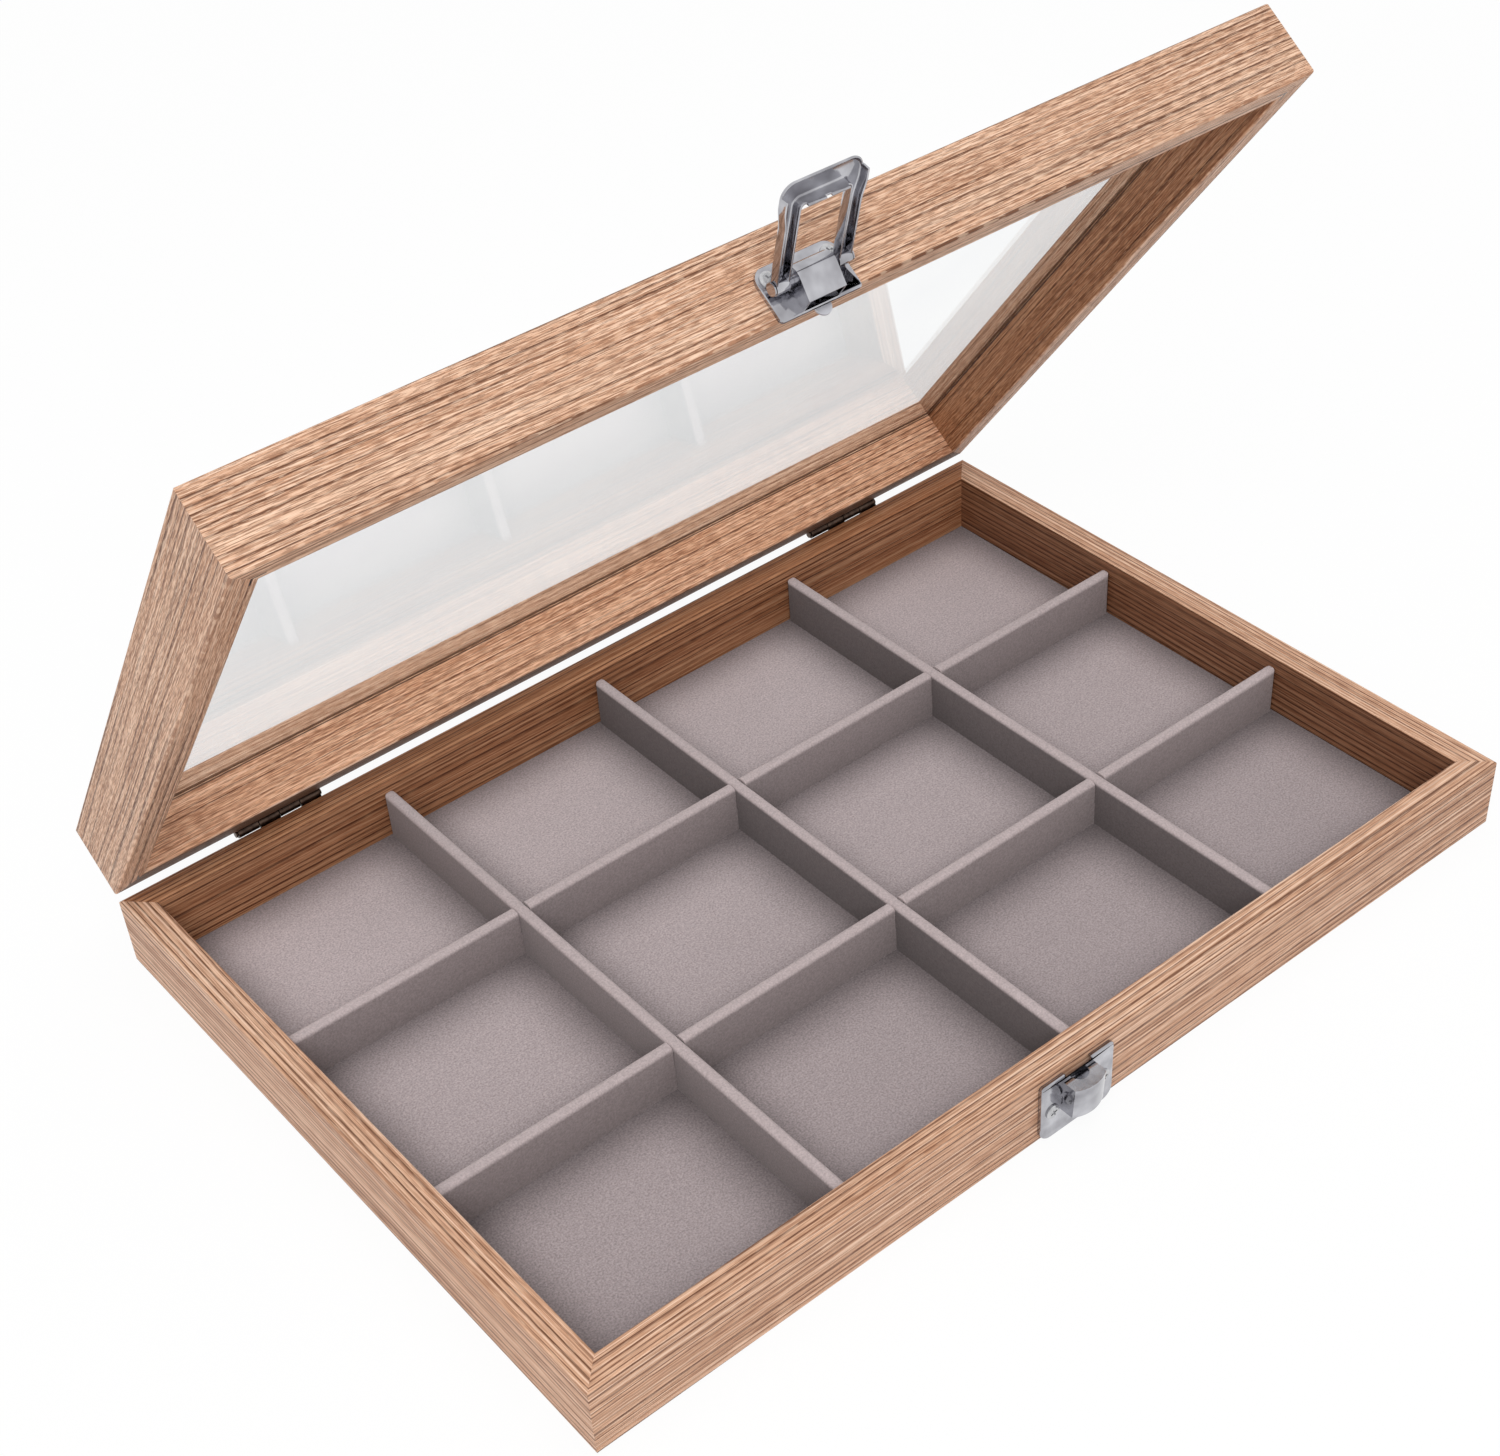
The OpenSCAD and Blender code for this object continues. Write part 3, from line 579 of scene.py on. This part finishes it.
def finish_shape(piece, smooth):
    """Applies a piece's modifiers and shades it smooth up to an angle in degrees."""
    only(piece)
    for modifier in list(piece.modifiers):
        bpy.ops.object.modifier_apply(modifier=modifier.name)
    bpy.ops.object.shade_smooth_by_angle(angle=math.radians(smooth))


def stand_for(piece, name):
    """Lets a piece stand for a node and move with its body."""
    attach(piece, next(body for body, names in bodies.items() if name in names))
    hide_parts(name)


# Plates, housing, hook and nose with eased edges

for name, width, clamped in (
    ("latch_plate", 0.45 * MM, False),
    ("keeper_plate", 0.45 * MM, False),
    ("latch_housing", 0.22 * MM, True),
    ("keeper_hook", 0.22 * MM, True),
    ("latch_nose", 0.1 * MM, True),
):
    piece = merged_copy(name, name + "_eased")
    ease_edges(piece, width, 3, 30, clamped)
    finish_shape(piece, 12)
    stand_for(piece, name)


# The bail, a stamped sheet with round bends

bail_joint = joints["bail_pivot"]
bail_pin = Vector(bail_joint["pos_m"])
bail_turn = Matrix.Rotation(-lid_open + math.radians(bail_joint["range_deg"][0]), 3, "X")
bail_out = bail_turn @ Vector((0, -1, 0))
bail_up = bail_turn @ Vector((0, 0, 1))
bail_face = 2 * MM
bail_flange = 3.3 * MM
bail_lip = 4.3 * MM
bail_length = 30.2 * MM
bail_window = 24.1 * MM
bail_bend = 1.2 * MM
bail_sheet = 0.6 * MM
bail_bar = bail_length - bail_window
bail_arm = 4.4 * MM
arm_middle = 10 * MM

# The outer flange fades between these lengths, to a rim of this depth
fade_start = 23.2 * MM
fade_end = 27.2 * MM
rim_depth = 0.9 * MM

# Half the width of the notch in the lip, and how far it goes in
notch_half = 0.8 * MM
notch_depth = 0.8 * MM

eye_radius = 1.95 * MM
eye_wall = 0.9 * MM
eye_length = bail_arm - 0.1 * MM
eye_corners = 40

# How far off an edge or a face may lie and still be in a plane, or at a line
in_plane = 0.02 * MM
at_line = 0.05 * MM


def on_bail(point):
    """Place across the bail, down from its pin and outwards, in its shut pose."""
    away = point - bail_pin
    return away.x, -away.dot(bail_up), away.dot(bail_out)


def pick(piece, kind, test):
    """Opens a piece with only the faces or edges selected whose middle passes a test."""
    only(piece)
    mesh = piece.data
    bpy.ops.object.mode_set(mode="EDIT")
    bpy.ops.mesh.select_mode(type=kind)
    bpy.ops.mesh.select_all(action="DESELECT")
    done()
    for part in mesh.polygons if kind == "FACE" else mesh.edges:
        points = [mesh.vertices[i].co for i in part.vertices]
        part.select = test(part, sum(points, Vector()) / len(points))
    bpy.ops.object.mode_set(mode="EDIT")


def cut(place, normal, **sides):
    """Cuts the selected faces with a plane through a place on the shut bail."""
    across, down, out = place
    point = bail_pin + Vector((across, 0, 0)) - bail_up * down + bail_out * out
    facing = Vector((normal[0], 0, 0)) - bail_up * normal[1] + bail_out * normal[2]
    bpy.ops.mesh.bisect(plane_co=point, plane_no=facing, **sides)


def turn_in(depth):
    """Extrudes the selected edges towards the box."""
    bpy.ops.mesh.extrude_edges_move(TRANSFORM_OT_translate={"value": -bail_out * depth})


def free_edges(piece):
    """Edges that only one face has."""
    count = {}
    for face in piece.data.polygons:
        for key in face.edge_keys:
            count[key] = count.get(key, 0) + 1
    return {key for key, faces in count.items() if faces == 1}


def in_face(middle):
    """Whether a middle lies in the bail's outer face."""
    return abs(on_bail(middle)[2] - bail_face) < in_plane


def is_outer(middle, first, last):
    """Whether a middle lies on the outer flange, between two lengths from the pin."""
    across, down, out = on_bail(middle)
    beyond = abs(across) > arm_middle or down > bail_window + bail_bar / 2
    return beyond and first < down < last and out < bail_face - in_plane


def on_lip(middle):
    """Whether a middle lies on the window's far side."""
    across, down, _ = on_bail(middle)
    straight = arm_middle - bail_arm / 2 - bail_bend
    return abs(across) < straight and abs(down - bail_window) < at_line


def turn_flanges(piece):
    """Bends flanges down all round the sheet and its window, but not at the arms' ends."""
    rim = free_edges(piece)
    pick(
        piece,
        "EDGE",
        lambda edge, m: tuple(sorted(edge.vertices)) in rim and on_bail(m)[1] > at_line,
    )
    turn_in(bail_flange)
    done()
    free = free_edges(piece)
    pick(piece, "EDGE", lambda edge, m: tuple(sorted(edge.vertices)) not in free and in_face(m))
    bpy.ops.mesh.bevel(
        offset=bail_bend, offset_type="OFFSET", segments=5, profile=0.5, clamp_overlap=False
    )
    done()


def fade_flange(piece):
    """Trims the outer flange to a rim towards the far end."""
    rim_place = (0, fade_end, bail_face - rim_depth)
    slope = (0, rim_depth - bail_flange, fade_end - fade_start)
    pick(piece, "FACE", lambda face, m: is_outer(m, 0, bail_length))
    cut(rim_place, (0, 1, 0))
    done()
    pick(piece, "FACE", lambda face, m: is_outer(m, fade_end, bail_length))
    cut(rim_place, (0, 0, 1), clear_inner=True)
    done()
    pick(piece, "FACE", lambda face, m: is_outer(m, 0, fade_end))
    cut(rim_place, slope, clear_inner=True)
    done()


def add_lip(piece):
    """Makes the flange at the window's far side longer, with a small notch in it."""
    flange_end = bail_face - bail_flange
    pick(
        piece,
        "EDGE",
        lambda edge, m: on_lip(m) and abs(on_bail(m)[2] - flange_end) < at_line,
    )
    turn_in(bail_lip - bail_flange)
    done()
    notch_top = bail_face - bail_lip + notch_depth
    for place, normal in (
        ((-notch_half, 0, 0), (1, 0, 0)),
        ((notch_half, 0, 0), (1, 0, 0)),
        ((0, 0, notch_top), (0, 0, 1)),
    ):
        pick(piece, "FACE", lambda face, m: on_lip(m))
        cut(place, normal)
        done()

    def in_notch(face, middle):
        across, _, out = on_bail(middle)
        return on_lip(middle) and abs(across) < notch_half and out < notch_top

    pick(piece, "FACE", in_notch)
    bpy.ops.mesh.delete(type="FACE")
    done()


def stamped_bail():
    """The bail's sheet, made from the outer face of its node."""
    piece = merged_copy("latch_bail", "bail_sheet")
    pick(
        piece,
        "FACE",
        lambda face, m: not (face.normal.dot(bail_out) > 0.999 and in_face(m)),
    )
    bpy.ops.mesh.delete(type="FACE")
    done()
    turn_flanges(piece)
    fade_flange(piece)
    add_lip(piece)
    sheet = piece.modifiers.new("sheet", "SOLIDIFY")
    sheet.thickness = bail_sheet
    sheet.offset = -1
    sheet.use_even_offset = True
    ease_edges(piece, 0.2 * MM, 3, 50)
    finish_shape(piece, 40)
    return piece


def bail_eye(side):
    """Rolled eye of an arm round the pin, as a tube."""
    bpy.ops.object.select_all(action="DESELECT")
    bpy.ops.mesh.primitive_cylinder_add(
        vertices=eye_corners,
        radius=eye_radius,
        depth=eye_length,
        location=bail_pin + Vector((side * arm_middle, 0, 0)),
        rotation=(0, math.pi / 2, 0),
    )
    eye = bpy.context.object
    eye.name = "bail_eye_" + ("left" if side < 0 else "right")
    bpy.ops.object.transform_apply(location=True, rotation=True, scale=True)
    pick(eye, "FACE", lambda face, m: len(face.vertices) == eye_corners)
    bpy.ops.mesh.inset(thickness=eye_wall)
    bpy.ops.mesh.bridge_edge_loops()
    done()
    ease_edges(eye, 0.15 * MM, 2, 50)
    finish_shape(eye, 40)
    eye.data.materials.append(finishes["latch_chrome"])
    return eye


for piece in (stamped_bail(), bail_eye(-1), bail_eye(1)):
    stand_for(piece, "latch_bail")


# Floor and light

floor_size = 14.0
# White that the floor gives to the background rays: near the box, and far off from it
white_near = 0.92
white_far = 1.0
near_end = 0.6
far_start = 1.5
# Light of the room on the object, where the background is 1
room_light = 0.50
key_power = 29
top_power = 12

bpy.ops.mesh.primitive_plane_add(size=floor_size, location=(0, 0, 0))
floor = bpy.context.object
floor.name = "floor"

floor_finish, tree, shader = finish_of("floor_finish")
shader.inputs["Base Color"].default_value = (0.9, 0.9, 0.9, 1)
shader.inputs["Roughness"].default_value = 0.9
shader.inputs["Specular IOR Level"].default_value = 0.0
white = add(tree, "ShaderNodeEmission", {"Color": (1, 1, 1, 1), "Strength": 1.0})
distance = add(tree, "ShaderNodeVectorMath", {0: own_place(tree)}, operation="LENGTH")
far_off = between(tree, distance.outputs["Value"], near_end, far_start)
whiteness = scaled(tree, far_off, white_near, white_far)
lit = add(
    tree,
    "ShaderNodeMixShader",
    {
        0: product(tree, background_rays(tree), whiteness),
        1: shader.outputs[0],
        2: white.outputs[0],
    },
)
tree.links.new(lit.outputs[0], tree.nodes["Material Output"].inputs["Surface"])
floor.data.materials.append(floor_finish)

world = bpy.data.worlds.new("studio")
bpy.context.scene.world = world
world.use_nodes = True
tree = world.node_tree
background = tree.nodes["Background"]
background.inputs["Color"].default_value = (1, 1, 1, 1)
strength = scaled(tree, background_rays(tree), room_light, 1.0)
tree.links.new(strength, background.inputs["Strength"])


def soft_lamp(name, place, size, power):
    """Large soft lamp at a place, turned to the box, which no metal mirrors."""
    data = bpy.data.lights.new(name, "AREA")
    data.shape = "SQUARE"
    data.size = size
    data.energy = power
    lamp = bpy.data.objects.new(name, data)
    lamp.location = place
    lamp.rotation_euler = (-Vector(place)).to_track_quat("-Z", "Y").to_euler()
    lamp.visible_glossy = False
    bpy.context.scene.collection.objects.link(lamp)


soft_lamp("key_lamp", (-0.95, -1.1, 1.7), 1.4, key_power)
soft_lamp("top_lamp", (0.5, 0.4, 2.2), 1.6, top_power)


# Camera of the picture: its place in mm, its turns, and its focal length and centre in pixels

camera_place = (-345.03, -434.48, 513.28)
camera_azimuth = -0.636988
camera_elevation = 0.714955
camera_roll = -0.0771275
focal_px = 2414.461
centre_px = (750.183, 818.735)
picture_px = (1500, 1456)

camera_data = bpy.data.cameras.new("camera")
camera_data.sensor_width = 36
camera_data.lens = focal_px * camera_data.sensor_width / picture_px[0]
camera_data.shift_x = (picture_px[0] / 2 - centre_px[0]) / picture_px[0]
camera_data.shift_y = (centre_px[1] - picture_px[1] / 2) / picture_px[0]
camera_data.clip_start = 0.01
camera_data.clip_end = 50
camera = bpy.data.objects.new("camera", camera_data)
bpy.context.scene.collection.objects.link(camera)
bpy.context.scene.camera = camera

back = Vector(
    (
        math.sin(camera_azimuth) * math.cos(camera_elevation),
        -math.cos(camera_azimuth) * math.cos(camera_elevation),
        math.sin(camera_elevation),
    )
)
level = Vector((math.cos(camera_azimuth), math.sin(camera_azimuth), 0))
upright = back.cross(level)
right = math.cos(camera_roll) * level + math.sin(camera_roll) * upright
up = -math.sin(camera_roll) * level + math.cos(camera_roll) * upright
turn = Matrix((right, up, back)).transposed().to_4x4()
camera.matrix_world = Matrix.Translation(Vector(camera_place) * MM) @ turn

bpy.context.scene.view_settings.view_transform = "Standard"
